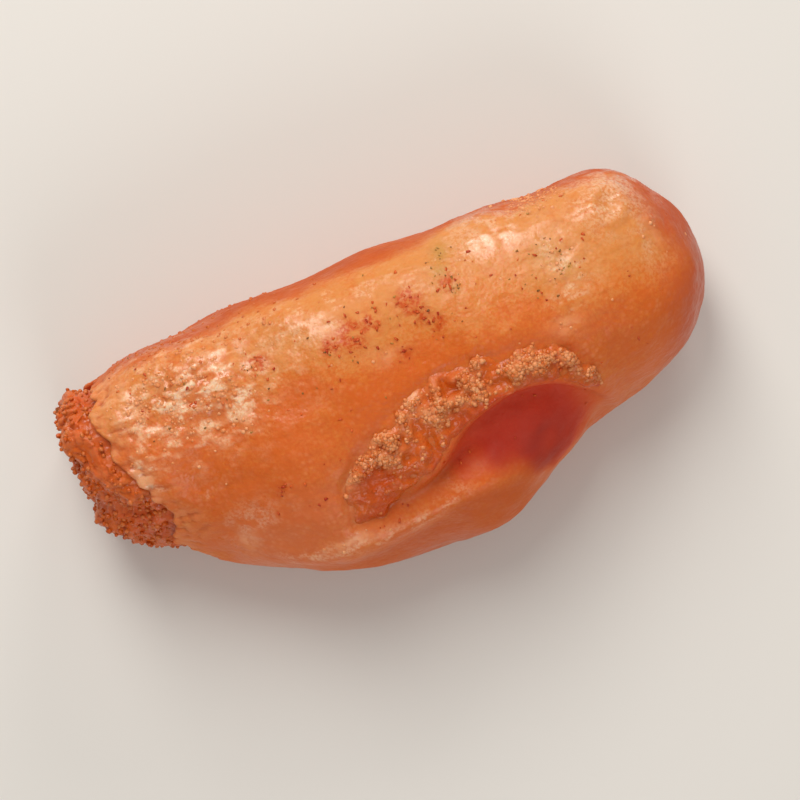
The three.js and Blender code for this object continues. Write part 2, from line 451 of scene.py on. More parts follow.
wetNoise = {"wander": (1.8, 3), "dents": ((0.9, 2), (0.45, 1)), "dentDepth": 0.13}  # size and detail
midNoise = (0.35, 0.65)    # where most of a noise lies


def makeWetGroup():
    # roughness wanders between two values with a noise a few mm wide, and two finer noises make
    # the small dents that break up the glints
    group, given, result = newGroup("wetSurface", {"Smoothest": 0.2, "Roughest": 0.45, "Dents": 0.5},
                                    {"Roughness": "NodeSocketFloat", "Normal": "NodeSocketVector"})
    wander = noise(group, *wetNoise["wander"])
    spread = rescale(group, wander, *midNoise, given["Smoothest"], given["Roughest"])
    group.links.new(spread, result["Roughness"])
    bump = group.nodes.new("ShaderNodeBump")
    bump.inputs["Distance"].default_value = wetNoise["dentDepth"] * mm
    group.links.new(given["Dents"], bump.inputs["Strength"])
    heights = arithmetic(group, "ADD", *(noise(group, *each) for each in wetNoise["dents"]))
    group.links.new(heights, bump.inputs["Height"])
    group.links.new(bump.outputs["Normal"], result["Normal"])
    return group


# Each finish: roughness between two values, strength of its dents, and the share of light that
# scatters under the surface, with its depth in mm. The skin's roughness and dents follow its masks.
wetFood = {"IOR": 1.38, "Specular IOR Level": 0.5, "Subsurface Radius": (1, 0.4, 0.2)}
finishes = {
    "skin": {"scatter": 0.35, "depth": 1.6},
    "packedRoe": {"smoothest": 0.14, "roughest": 0.42, "dents": 0.6, "scatter": 0.3, "depth": 1},
    "wetGrain": {"smoothest": 0.14, "roughest": 0.4, "dents": 0.3, "scatter": 0.15, "depth": 0.25},
    "spice": {"smoothest": 0.2, "roughest": 0.5, "dents": 0.5, "scatter": 0.1, "depth": 0.4},
}


def wetFinish(tree, shader, wetGroup, tint, smoothest, roughest, dents, scatter, depth):
    # the sockets that each wet food material sets alike
    wet = useGroup(tree, wetGroup, Smoothest=smoothest, Roughest=roughest, Dents=dents)
    tree.links.new(tint, shader.inputs["Base Color"])
    for socket in ("Roughness", "Normal"):
        tree.links.new(wet[socket], shader.inputs[socket])
    for socket, value in wetFood.items():
        shader.inputs[socket].default_value = value
    shader.inputs["Subsurface Weight"].default_value = scatter
    shader.inputs["Subsurface Scale"].default_value = depth * mm


skinLook = {
    "paleSteps": {"amber": (0, 0.5), "peach": (0.4, 1)},   # paleness over which each comes in
    "smoothest": (0.1, 0.6), "roughnessSpread": 0.2, "dents": (0.4, 0.7), "coatRoughness": 0.17,
    "dotSize": 0.6, "dotFading": 3.1,
}


def makeSkinMaterial(tintGroup, wetGroup):
    # from orange through amber to peach with a paleness that three noises shift, the peach partly the
    # skin's own and partly painted light on the lit crest, rose on the belly and olive under the pepper;
    # grains show through as fading dots, the gap and depth layers and the dark red are painted shade, a
    # fine noise breaks up the stains and the cream painted highlight, and dull places are rougher
    material, tree, shader = newMaterial("wetRoeSkin")
    fine = noise(tree, 0.3, 2, 0.6)
    shifts = [rescale(tree, noise(tree, 5, 5, 0.65), 0.3, 0.7, -0.28, 0.28),
              rescale(tree, noise(tree, 1.1, 3, 0.6), 0.3, 0.7, -0.16, 0.16),
              rescale(tree, fine, *midNoise, -0.2, 0.2)]
    paleness = arithmetic(tree, "ADD", mask(tree, "paleness"), *shifts)
    base = colours["orange"]
    for colour, (low, high) in skinLook["paleSteps"].items():
        base = mixColours(tree, rescale(tree, paleness, low, high), base, colours[colour])
    for place in ("rose", "olive"):
        base = mixColours(tree, mask(tree, place), base, colours[place])
    dots = rescale(tree, speckle(tree, skinLook["dotSize"]), 0.12, 0.5, 0.6, 0)
    fading = rescale(tree, noise(tree, skinLook["dotFading"]), *midNoise)
    shown = arithmetic(tree, "MULTIPLY", dots, mask(tree, "grainy"), fading)
    pale = arithmetic(tree, "MAXIMUM", shown, mask(tree, "eggPale"))
    stain = arithmetic(tree, "MULTIPLY", mask(tree, "chili"), rescale(tree, fine, 0.44, 0.57, 1, 0.5))
    cream = arithmetic(tree, "MULTIPLY", mask(tree, "cream"), rescale(tree, fine, 0.41, 0.56, 0.3, 1.7))
    tint = useGroup(tree, tintGroup, Base=base, Pale=pale, Gap=mask(tree, "eggGap"),
                    Depth=mask(tree, "depth"), Chili=stain)["Color"]
    # painted shade: dark red deep in the hollow; then a painted highlight in cream
    tint = mixColours(tree, mask(tree, "inner"), tint, colours["darkRedShade"])
    tint = mixColours(tree, cream, tint, colours["cream"])
    dull = rescale(tree, mask(tree, "dull"), 0, 1, *skinLook["smoothest"])
    duller = arithmetic(tree, "ADD", dull, skinLook["roughnessSpread"])
    dents = rescale(tree, mask(tree, "wet"), 0, 1, *skinLook["dents"])
    wetFinish(tree, shader, wetGroup, tint, dull, duller, dents, **finishes["skin"])
    tree.links.new(mask(tree, "gloss"), shader.inputs["Coat Weight"])
    shader.inputs["Coat Roughness"].default_value = skinLook["coatRoughness"]
    return material


def makeRoeMaterial(name, base, tintGroup, wetGroup):  # bare roe, packed or as single grains
    material, tree, shader = newMaterial(name)
    masks = {"Pale": "eggPale", "Gap": "eggGap", "Depth": "depth", "Chili": "chili"}
    layers = {label: mask(tree, key) for label, key in masks.items()}
    tint = useGroup(tree, tintGroup, Base=base, **layers)["Color"]
    wetFinish(tree, shader, wetGroup, tint, **finishes[name])
    return material


def makeFlakeMaterial(name, dark, light, wetGroup):
    material, tree, shader = newMaterial(name)
    tint = mixColours(tree, mask(tree, "tone"), dark, light)
    wetFinish(tree, shader, wetGroup, tint, **finishes["spice"])
    return material


skin = {
    "around": 344, "rows": 258, "topShare": 0.68, "pastSides": 0.12,
    "wall": 0.9,           # thickness of the shell
    "thinning": 0.45,      # taken off it at the torn edge
    "innerRows": (0.03, 0.08, 0.18, 0.35, 0.52, 0.68, 0.8, 0.9, 0.96, 0.99),
    "rimRows": (0.15, 0.5, 0.85), "rimBulge": 0.25,
    "eggs": 0.82, "patchRise": 0.05, "plainRise": 0.04, "edgeRise": 0.22, "underStrip": 0.25,
    "slowRise": 0.22, "quickRise": 0.09, "strokeRise": 0.1,
    "dimple": (24, 7.4, 1.3, 0.3),      # X, Y, radius and depth
    # swellings that catch the light: X, Y, half length, half width and height
    "swellings": ((12.6, 9.7, 4.6, 1.7, 0.75), (23.5, 9.6, 4, 1.9, 0.25), (-7, 7.3, 3.2, 1.4, 0.35),
                  (-18.5, 6.9, 6, 1.8, 0.4), (-16, 0.8, 4, 1.6, -0.2)),
}

# The skin's noises: amount, size, seed and, if drawn out along X, stretch of each layer.
skinNoise = {
    "uneven": ((1, 0.85, 61), (0.6, 0.45, 62)),
    "furrows": ((1, 1.3, 21), (0.5, 0.7, 22)),
    "glints": ((1, 0.9, 91), (0.5, 0.5, 92)),
    "stains": ((1, 0.6, 63), (0.5, 0.35, 64)),
    "strokes": ((1, 0.6, 65, (2.4, 1, 1)), (0.5, 0.35, 66, (2, 1, 1))),
    "breaks": ((1, 0.28, 67, (1.5, 1, 1)),),
    "inHollow": ((1, 1.1, 68, (2.5, 1, 1)),),
}

# The skin's regions as ovals: X, Y, half length and half width.
regions = {
    "patch": (-17.5, 3.6, 7.5, 4.6), "patchCore": (-15.5, 3.7, 5.5, 2.8), "tip": (19, 4.5, 11, 5.5),
    "belly": (-14, -11.5, 8, 4), "crumbs": (17.8, 10.2, 2.2, 0.8),
}
# Round places as X, Y and radius: where chili shows, and where pepper gathers.
chiliSpots = ((-10.7, 4.5, 0.9), (-4, 3.8, 0.8), (-1.9, 4.1, 1.3), (0.1, 4.6, 0.9), (4, 5.2, 1.1),
              (4.6, 3.9, 0.8), (8, 5.6, 0.7), (5.8, 2.6, 0.7), (-12.3, -6.9, 0.5), (2.3, 1, 0.5))
oliveSpots = ((7.6, 6.9, 0.8), (8.1, 8.4, 0.9), (17.2, 5, 1.3), (18.6, 3.4, 0.9), (8.3, 5, 0.5))
# Ovals with a strength at the end: pale places, the one at the tip's right end a painted highlight; cream
# places, a painted highlight, with pale grains at X 18; and wet ones that mirror the window.
paleSpots = ((0.6, 1.3, 1.9, 0.9, 1), (-24, -2.2, 1, 2, 1), (18.2, 4.3, 2, 2.4, 1),
             (-7.5, -13.2, 3, 0.45, 1), (-22.6, 4.2, 1.2, 1.2, 1), (16.9, -1.6, 1.6, 0.9, 1),
             (27, 4.4, 0.7, 2, 1), (-17, -10.4, 0.9, 1.1, 1))
creamSpots = ((-24, -1.9, 1.4, 2.8, 1), (-3, 6.8, 9, 1.8, 0.5), (18, 3, 2.2, 3.2, 0.55),
              (23.5, 8.2, 2.6, 1.6, 0.6))
glossSpots = ((-18, 3.8, 7, 4.4, 1), (12.8, 8.6, 3.8, 1.7, 1), (24.2, 7.8, 3.4, 3, 1),
              (-7, 5.8, 2.8, 1.6, 0.8), (26.6, 3.6, 1.4, 3, 0.6), (-15.8, -8.6, 2.8, 1.6, 0.7),
              (-24.5, -2.5, 1.6, 3, 0.7))


def anglesRound():
    # angles round the section, closer together over the top: an even stretch for each side
    count, past = skin["around"], skin["pastSides"]
    top = int(count * skin["topShare"])
    over = np.linspace(-past, math.pi + past, top, endpoint=False)
    under = np.linspace(math.pi + past, fullTurn - past, count - top, endpoint=False)
    return np.concatenate([over, under])[None, :]


def spots(x, y, places):  # the greatest of a set of round bells
    return np.max([bell(np.hypot(x - px, y - py), radius) for px, py, radius in places], axis=0)


def oval(x, y, px, py, long, wide):  # a bell along X times one along Y
    return bell(x - px, long) * bell(y - py, wide)


def ovals(x, y, places):  # the greatest of a set of oval bells, each with its strength
    return np.max([strength * oval(x, y, *place) for *place, strength in places], axis=0)


def streakShare(x, y):  # 1 between the strip's upper edge and the hollow's, with soft borders and ends
    low, high = through(hollow["edge"], x), through(streak["upper"], x)
    begins, ends = (streak["from"], streak["from"] + 1.5), (streak["to"] - 1.5, streak["to"])
    return ease(-0.6, 0.2, y - low) * (1 - ease(-0.5, 0.3, y - high)) * between(begins, ends, x)


def skinMasks(points, edgeX):
    # soft bands in X, Y and Z, made uneven by a slow and a quick noise, that say where the skin is pale,
    # grainy, bare or stained, and where shade and light are painted on it
    x, y, z = points[..., 0], points[..., 1], points[..., 2]
    slow, quick = mottle(points, 5, 3), mottle(points, 1.7, 5)
    facing = ease(7.5, 12, z)
    low = 1 - ease(1, 8, z)
    # the crest, paler partly as painted light on the lit top, the far rim and the tip's rim, which take
    # painted shade, and the torn edge
    crest = ease(-1.5, 5, y + 1.6 * slow + 0.8 * quick + 1.2 * bell(x - 22, 7))
    fromFar = farEdge(x) - y + 1.5 * ease(9, 5, z)
    rim = 1 - ease(0.5, 2, fromFar + 0.4 * slow + 0.35 * quick)
    tipRim = ease(25, 30, x + 0.4 * np.abs(y - 1) - 1.5 + 0.4 * quick)
    fromEdge = x - edgeX
    edge = 1 - ease(0.2, 3, fromEdge + 1.1 * quick)
    # the lip, whose crest takes a painted highlight, and the side under it and the dip above it, which take
    # painted shade
    fromLip = y - through(hollow["lip"], x)
    onLip = bell(fromLip - 0.1, 0.9) * between(hollow["lipFrom"], hollow["lipTo"], x)
    lipHighlight = bell(fromLip - 0.2, 0.45) * between((-17, -12), (0, 6), x) * ease(6, 9, z)
    underLip = ease(-0.4, -1.5, fromLip + 0.3 * quick) * between((-14, -5), (7, 12), x)
    inDip = bell(fromLip - 1.7, 0.8) * between(hollow["dipGrows"], hollow["lipTo"], x)
    # the shade in the hollow, between its edge and its foot
    below = through(hollow["edge"], x) - y
    aboveFoot = y + 0.5 * quick - through(hollow["foot"], x)
    shade = between((-3, 4), (14, 20), x) * ease(-0.6, 0.8, below)
    shade = shade * ease(-1.2, 1.2, aboveFoot) * ease(8.5, 13, z + 0.6 * quick)
    # painted shade: inner is dark red lower in the hollow, depth is crimson over the hollow, and darker
    # towards the bottom and at the tip's rim
    inner = ease(10, 14, z) * ease(2, 6, below) * (0.5 + 0.25 * slow + 0.2 * quick)
    depth = (0.58 + 0.24 * ease(1, 5, below)) * shade + 0.2 * hollowShare(x, y) * (z > 4)
    # painted shade in deep orange: along the far rim, at the tip's rim, towards the bottom, in the dip
    # above the lip and under it
    rimFoldAndLowShade = (0.9 + 0.3 * quick + 0.25 * slow) * rim + 0.8 * tipRim + 0.2 * low
    # the crest, pale partly from its own tone and partly as painted light, the grainy patch, the shine and
    # the chili
    paleness = facing * crest * (1 - 0.9 * rim) * (1 - 0.9 * tipRim) * (1 - 0.5 * bell(fromEdge, 3.5))
    patch = oval(x + 1.2 * slow, y, *regions["patch"])
    glints = ease(-0.5, 0.2, layered(points, skinNoise["glints"]))
    stains = facing * spots(x, y, chiliSpots) * ease(-0.6, 0.15, layered(points, skinNoise["stains"]))
    inStreak = 1.1 * spots(x, y, streak["red"]) * (0.8 + 0.4 * quick) + 0.4 * spots(x, y, streak["jelly"])
    return {
        "paleness": np.maximum(paleness, 0.2 * onLip),
        "rose": 0.6 * oval(x, y, *regions["belly"]) * ease(4, 9, z),
        "gloss": facing * ovals(x, y, glossSpots) * glints,
        "olive": 0.6 * facing * spots(x, y, oliveSpots),
        "patch": np.clip(1.2 * patch * facing, 0, 1), "tip": oval(x, y, *regions["tip"]) * facing,
        "pale": ovals(x, y, paleSpots) * facing, "lip": lipHighlight, "streak": streakShare(x, y),
        "edge": edge, "hem": 1 - ease(0, 2.6, fromEdge),
        "rimFoldAndLowShade": rimFoldAndLowShade + 0.4 * inDip + 0.5 * underLip, "inner": shade * inner,
        "depth": np.clip(depth + 0.15 * low + 0.15 * tipRim, 0, 0.95),
        "dull": np.clip(shade + 0.5 * (rim + edge + ease(0, 0.7, slow)) + 0.4 * low, 0, 1),
        "chili": 1.9 * stains + inStreak, "slow": slow, "quick": quick, "facing": facing,
    }


def creases(points, masks):
    # furrows where noise crosses zero in the grainy patch, one long one across it and one over the
    # bare strip
    x, y = points[..., 0], points[..., 1]
    torn = masks["patch"] * bell(layered(points, skinNoise["furrows"]), 0.22)
    line = bell(y - 3 - 0.22 * (x + 19) + 0.5 * masks["quick"], 0.3) * bell(x + 19, 5)
    fromUpper = y - through(streak["upper"], x) + 0.3 * masks["quick"]
    over = bell(fromUpper - 0.2, 0.35) * between((-9, -6), (15, 19), x) * masks["facing"]
    return torn, 0.6 * line, over


def skinForm(x, y):  # the dimple, as a round bell with a raised ring, and the oval swellings
    dimpleX, dimpleY, radius, dent = skin["dimple"]
    fromDimple = np.hypot(x - dimpleX, y - dimpleY) / radius
    dimple = dent * (0.55 * bell(fromDimple - 1.15, 0.35) - bell(fromDimple, 0.75))
    return dimple + sum(high * oval(x, y, *place) for *place, high in skin["swellings"])


def skinSurface():
    # the outside, raised along its normals by grains, noises and swellings, and lowered by furrows,
    # at the torn edge and where the bare strip lies
    angles = anglesRound()
    along = np.linspace(0, 1, skin["rows"] + 1)[:-1, None]
    base, flat = outsidePoints(along, angles), outsidePoints(along, angles, 0)
    x, y, z = flat[..., 0], flat[..., 1], flat[..., 2]
    normals = gridNormals(base)
    masks = skinMasks(flat, tornLine(angles))
    nearest, _, number = eggField(base, skin["eggs"])
    bump = eggBumps(nearest)
    torn, line, over = creases(flat, masks)
    edge, patch, inner = masks["edge"], masks["patch"], masks["inner"]
    grainy = np.clip(patch + 0.45 * masks["tip"] + 0.8 * masks["pale"], 0, 1)
    bent = base + masks["quick"][..., None] * np.array([0.3, 0.6, 0.2])
    strokes = layered(bent, skinNoise["strokes"])
    flecks = strokes + 0.6 * layered(base, skinNoise["breaks"])
    rise = (skin["plainRise"] + skin["patchRise"] * grainy) * (1 - edge)
    relief = ((rise + skin["edgeRise"] * edge) * (bump - 0.5)
              + skin["slowRise"] * masks["slow"] + skin["quickRise"] * masks["quick"]
              + skinForm(x, y) * masks["facing"] + skin["strokeRise"] * patch * strokes
              + (0.02 + 0.05 * grainy) * layered(base, skinNoise["uneven"])
              + 0.35 * inner * layered(base, skinNoise["inHollow"])
              - 0.06 * torn - 0.1 * line - 0.06 * over
              - skin["thinning"] * masks["hem"] - skin["underStrip"] * masks["streak"])
    points = base + normals * relief[..., None]
    keepAbove(points, 0)
    # painted shade: the gap layer darkens between grains, in the furrows and along the rims and folds
    gap = 1 - ease(0.1, 0.65, bump)
    # painted highlight: cream flecks over the grainy patch, strongest in its core, in the spots along the
    # crest and near the tip, and fainter wherever the skin is glossy
    creamHighlightShare = np.maximum(patch * (0.6 + 0.6 * oval(x, y, *regions["patchCore"])), ovals(x, y, creamSpots))
    creamHighlightShare = np.maximum(0.9 * creamHighlightShare * ease(0, 0.75, flecks), 0.3 * masks["gloss"] * (1 - patch))
    # the pale strokes over the grainy patch are a painted highlight; elsewhere the pale layer is pale
    # grains
    shades = {
        "paleness": masks["paleness"] * (1 - 0.5 * patch), "grainy": 0.3 + 0.7 * grainy + 0.3 * edge,
        "wet": np.clip(patch + 0.4 * masks["tip"], 0, 1) * (1 - edge),
        "dull": np.clip(0.35 + masks["dull"], 0, 1) * (1 - np.clip(1.3 * masks["gloss"], 0, 1)),
        "eggPale": (0.2 + 0.6 * number) * (0.4 * edge + 0.6 * masks["pale"] + 0.3 * grainy)
                   + 0.8 * patch * ease(0, 0.5, strokes),
        "eggGap": gap * (0.1 + 0.1 * grainy + 0.5 * edge) + 0.08 * torn + 0.15 * over + masks["rimFoldAndLowShade"],
        "cream": (1 - 0.6 * edge) * ease(10, 15, z) * creamHighlightShare
                 + 0.3 * masks["lip"] * ease(-0.3, 0.5, flecks),
        "chili": masks["chili"] + 0.25 * line + 0.05 * torn,
        **{key: masks[key] for key in ("rose", "olive", "gloss", "depth", "inner")},
    }
    return points, normals, masks, shades


def makeSkin(material):
    # one closed shell: along its inner wall from the tip to the torn edge, round the rim, and back
    # along the outside
    points, normals, masks, shades = skinSurface()
    angles, wall = anglesRound(), skin["wall"]
    inner = layerPoints(np.array(skin["innerRows"])[:, None], angles, wall)[::-1]
    turned = layerPoints(np.array([[0], [0.01]]), angles, wall)[0]
    shares = np.array(skin["rimRows"][::-1])[:, None]
    rim = points[0] + (turned - points[0]) * shares[..., None]
    rim[:, :, 0] -= skin["rimBulge"] * np.sin(shares * math.pi)
    rings = np.concatenate([inner, turned[None], rim, points])
    extra = len(rings) - len(points)
    values = {key: np.concatenate([np.repeat(value[:1], extra, 0), value]) for key, value in shades.items()}
    middle = [lobe["ridgeY"], lobe["middleZ"]]
    body = closedRings(rings, values, [tipEnd - wall, *middle], [tipEnd, *middle])
    piece = meshPiece("roe_skin", *body, material)
    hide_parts("sac_membrane")
    return points, normals, masks


roe = {
    "around": 336, "rows": 150, "bluntness": 12, "crowding": 1.15,
    "inTip": 1.3,          # how far its tip lies inside the skin's
    "eggs": 0.6, "bumpRise": 0.24, "lumpRise": 0.5, "clodRise": 0.45,
    "under": 1.15,         # how far the roe lies under the skin's outside
    "proud": 0.35,         # the same where it has swelled out of the torn end
    "innerRows": (0, 0.02, 0.05, 0.1, 0.2, 0.36, 0.52, 0.68, 0.8, 0.9, 0.96, 0.99),
    "lumps": ((0.3, 1.15, 0.6, 0), (0.3, -0.8, 0.9, 1)), "setBack": 0.6,
    "furthest": -30.85,    # nothing stands further out than this X
    "rimFrom": 0.5, "restsFrom": 0.05,     # Z of its lowest points, without and with grains
}


def makeRoe(material):
    # the lobe's section is carried out past the torn edge, swells a little and is closed by a blunt
    # face with sine lumps, clods and grains, raised along X in its middle and outwards near its
    # rim; inside the skin the roe follows it to the tip
    angles = np.linspace(0, fullTurn, roe["around"], endpoint=False)[None, :]
    inward = np.linspace(0, 1, roe["rows"] + 1)[1:-1, None]
    share = 1 - inward ** roe["crowding"]
    reach = np.sqrt(1 - share ** roe["bluntness"])
    x = lobe["tornX"] + (tornLine(angles) - lobe["tornX"]) * share ** 3 - lobe["standOut"] * reach
    rim = sectionPoints(x, angles, 1)
    middle = sectionPoints(x, angles, 0)
    under = roe["under"] + (roe["proud"] - roe["under"]) * ease(0.05, 0.45, reach)
    rim = rim - gridNormals(rim[::-1])[::-1] * under[..., None]
    keepAbove(rim, roe["rimFrom"])
    face = middle + (rim - middle) * share[..., None]
    for size, perY, perZ, phase in roe["lumps"]:
        face[..., 0] -= size * np.sin(perY * face[..., 1] + perZ * face[..., 2] + phase) * reach
    face[..., 0] += roe["setBack"] * reach
    core = layerPoints(np.array(roe["innerRows"])[:, None], angles, roe["under"])
    base = np.concatenate([face[::-1], core])
    outside = np.concatenate([np.ones(len(face)), np.zeros(len(core))])[:, None]
    sideways = np.concatenate([ease(0.6, 0.92, share[::-1, 0]), np.ones(len(core))])[:, None, None]
    normals = gridNormals(base) * sideways + np.array([-1, 0, 0]) * (1 - sideways)
    nearest, _, number = eggField(base, roe["eggs"])
    bump, lumps, clods = eggBumps(nearest), mottle(base, 2.6, 31), mottle(base, 1.3, 32)
    relief = roe["lumpRise"] * (lumps - 0.3) + roe["clodRise"] * (clods - 0.3)
    relief = outside * (relief + roe["bumpRise"] * (bump - 0.8))
    points = base + normals * relief[..., None]
    points[..., 0] = np.maximum(points[..., 0], roe["furthest"])
    keepAbove(points, roe["restsFrom"])
    # painted shade: darker between grains, and crimson where the lumps sink and towards the bottom
    gap = 1 - ease(0.1, 0.7, bump)
    values = {"eggPale": 0.18 * number + 0.25 * clods, "eggGap": 0.25 + 0.5 * gap,
              "depth": np.clip(0.1 - 0.2 * lumps + 0.35 * (1 - ease(1, 6, base[..., 2])), 0, 0.8),
              "chili": np.clip(0.6 * mottle(base, 3.1, 33) - 0.1, 0, 0.5)}
    tip = [tipEnd - roe["inTip"], *base[-1].mean(0)[1:]]
    piece = meshPiece("broken_roe", *closedRings(points, values, points[0].mean(0), tip), material)
    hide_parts("egg_mass")
    return points[:len(face)], normals[:len(face)]


strip = {
    "rows": 380, "top": 112, "under": 14, "eggs": 0.62,
    "lift": 0.12, "clumpRise": 0.42, "bumpRise": 0.2, "lumpRise": 0.22,
    "tuck": 0.4, "sink": 0.6,      # how far its borders and its underside lie under the skin
    "overBank": 1,       # how far it follows the bank down into the hollow
    "fray": ((0.45, 1.7, 75), (0.3, 0.7, 76)),       # of the upper edge: amounts, sizes and seeds
}


def makeStrip(material):
    # the bare strip: across its top from a frayed upper edge and down the hollow's bank, raised on
    # the clumps, and back under the skin. Places in plan give the angle by the section's cosine.
    begins, ends = streak["from"], streak["to"]
    x = np.linspace(begins, ends, strip["rows"])[:, None]
    tapered = np.sqrt(between((begins, begins + 3), (ends - 3, ends), x))
    fray = tapered * layered(np.stack([x, 0 * x, 0 * x], -1), strip["fray"])
    high = through(streak["upper"], x) + fray
    low = through(hollow["edge"], x) - strip["overBank"]
    over = np.linspace(0, 1, strip["top"])[None, :]
    y = (high + low) / 2 + (high - low) / 2 * (1 - 2 * over) * (0.15 + 0.85 * tapered)
    width = swollen(lobe["near"], x) + lobe["ridgeY"] - lobe["trim"]
    angles = np.arccos(np.clip((y - lobe["ridgeY"]) / width, -0.999, 0.999))
    top = sectionPoints(x + 0 * y, angles, 1)
    normals = unit(np.cross(np.gradient(top, axis=1), np.gradient(top, axis=0)))
    nearest, _, number = eggField(top, strip["eggs"])
    bump, lumps, clods = eggBumps(nearest), mottle(top, 2.2, 71), mottle(top, 0.9, 72)
    jelly, red = spots(x, y, streak["jelly"]), spots(x, y, streak["red"])
    clump = np.clip(spots(x, y, streak["clumps"]) + 0.45 * clods + 0.3 * lumps, 0, 1)
    clump = clump * (1 - 0.8 * np.maximum(jelly, red)) * (1 - 0.85 * ease(0.55, 0.78, over))
    inward = ease(0, 0.25, over) * (1 - ease(0.75, 1, over))
    swell = np.clip(inward * (0.55 + 0.45 * clods) * 1.6, 0, 1) * tapered
    swell = swell * ease(-9.5, -5, x + 0.8 * clods)
    relief = strip["lift"] + strip["clumpRise"] * clump + strip["lumpRise"] * lumps
    relief = relief + strip["bumpRise"] * (bump - 0.6) * (0.35 + 0.65 * clump)
    relief = relief * swell - strip["tuck"] * (1 - swell)
    raised = top + normals * relief[..., None]
    back = np.linspace(strip["top"] - 2, 1, strip["under"]).astype(int)
    rings = np.concatenate([raised, top[:, back] - normals[:, back] * strip["sink"]], 1)
    # painted shade: darker between grains and clumps, and crimson on the foot that runs down the hollow's
    # bank
    gap = 1 - ease(0.1, 0.7, bump)
    foot = ease(0.7, 0.95, over) * ease(-2, 6, x)
    film = ease(0.1, 0.6, mottle(top, 1.5, 73)) * (1 - clump)
    shades = {"eggPale": clump * (0.35 + 0.5 * number + 0.3 * clods) * (1 - foot),
              "eggGap": gap * (0.15 + 0.3 * clump) + 0.45 * film + 0.3 * (1 - clump) * (1 - jelly),
              "depth": 0.8 * foot + 0.15 * film + 0.4 * red, "chili": red + 0.6 * jelly}
    values = {key: np.concatenate([value, value[:, back]], 1) for key, value in shades.items()}
    body = closedRings(rings, values, rings[0].mean(0), rings[-1].mean(0))
    piece = meshPiece("bare_strip", *body, material)
    return raised, normals, swell * clump * (1 - foot)


def smallBody(rings, top, bottom):  # a closed body from rings given from the top down, in triangles
    vertices, (quads, fans), _ = closedRings(rings, {}, [0, 0, top], [0, 0, bottom])
    return vertices, np.concatenate([quads[:, [0, 2, 1]], quads[:, [0, 3, 2]], fans[:, ::-1]])


def roundGrain():
    # a ball: three rings of six at even latitudes, each turned a little, and two poles
    latitudes = np.array([0.25, 0.5, 0.75])[:, None] * math.pi
    longitudes = np.arange(6)[None, :] / 6 * fullTurn + 0.5 * latitudes
    rings = np.stack([np.sin(latitudes) * np.cos(longitudes), np.sin(latitudes) * np.sin(longitudes),
                      np.cos(latitudes) + 0 * longitudes], -1)
    return smallBody(rings, 1, -1)


def flakeChip():
    # a thin chip: six corners at uneven radii on top, a narrower ring below, and two poles
    turn = np.arange(6) / 6 * fullTurn
    radii = np.array([1, 0.75, 1.05, 0.85, 1.1, 0.7])
    ring = np.stack([radii * np.cos(turn), radii * np.sin(turn), 0.12 + 0 * turn], -1)
    return smallBody(np.stack([ring, ring * np.array([0.8, 0.8, -1])]), 0.26, -0.2)


def meshCopies(name, copies, faces, values, material):
    # one piece from many placed copies of a small body, with one number per copy for each attribute
    count, corners = copies.shape[:2]
    faceSet = faces[None] + (np.arange(count) * corners)[:, None, None]
    numbers = {key: np.repeat(value, corners) for key, value in values.items()}
    piece = meshPiece(name, copies.reshape(-1, 3), [faceSet.reshape(-1, 3)], numbers, material)


# Loose grains. Sinks are heights over the surface, in mm.
grains = {
    "radius": 0.26, "squash": 0.14,
    "within": 0.55,        # how near the surface a grain's centre lies, in spacings
    "sinkBand": (-0.2, 0.1),
    "tornKeep": 0.5, "stripCount": 700, "skinCount": 900,
    "tornSink": -0.08, "stripSink": -0.35, "skinSink": -0.5,      # the last two as shares of a radius
    "tornSizes": (0.7, 1.1), "sizes": (0.6, 1.1), "skinSize": 0.85,
}


def scatterBalls(name, places, radii, values, material, seed):
    # copies of one ball, each turned at random, squashed a little and set at its place
    rng = np.random.default_rng(seed)
    ball, faces = roundGrain()
    count = len(places)
    turns, _ = np.linalg.qr(rng.normal(size=(count, 3, 3)))
    turns[:, :, 0] *= np.sign(np.linalg.det(turns))[:, None]
    stretch = 1 + grains["squash"] * rng.uniform(-1, 1, size=(count, 1, 3))
    balls = np.einsum("nij,nkj->nki", turns, ball[None] * stretch * radii[:, None, None])
    balls = balls + places[:, None, :]
    keepAbove(balls, 0)
    meshCopies(name, balls, faces, values, material)


def grainsOn(points, normals, spacing, sink):
    # one grain for each cube of the grain field that the surface passes through, moved along the
    # normal to lie between two depths round the sink
    nearest, centre, number = eggField(points, spacing)
    picked = nearest < grains["within"]
    _, first = np.unique(np.round(centre[picked], 3), axis=0, return_index=True)
    surface, outward = points[picked][first], normals[picked][first]
    centres = centre[picked][first]
    height = ((centres - surface) * outward).sum(-1)
    lowest, highest = grains["sinkBand"]
    moved = np.clip(height, sink + lowest, sink + highest) - height
    return centres + outward * moved[:, None], number[picked][first]


def pickGrains(rng, points, normals, chance, count, sink):
    # places drawn from a surface's points with a chance each, moved out by a share of the radius
    flat, outward = points.reshape(-1, 3), normals.reshape(-1, 3)
    weight = np.clip(chance, 0, None).ravel()
    picked = rng.choice(len(flat), count, replace=False, p=weight / weight.sum())
    radii = grains["radius"] * rng.uniform(*grains["sizes"], count)
    places = flat[picked] + outward[picked] * (radii * (sink + rng.uniform(-0.3, 0.3, count)))[:, None]
    return places, radii, rng.random(count)


def surfaceAt(points, normals, x, y):
    # the upper surface's point and normal nearest to a place seen from above
    seen = normals[..., 2] > 0.15
    flat, outward = points[seen], normals[seen]
    nearest = np.argmin((flat[:, 0] - x[:, None]) ** 2 + (flat[:, 1] - y[:, None]) ** 2, axis=1)
    return flat[nearest], outward[nearest]


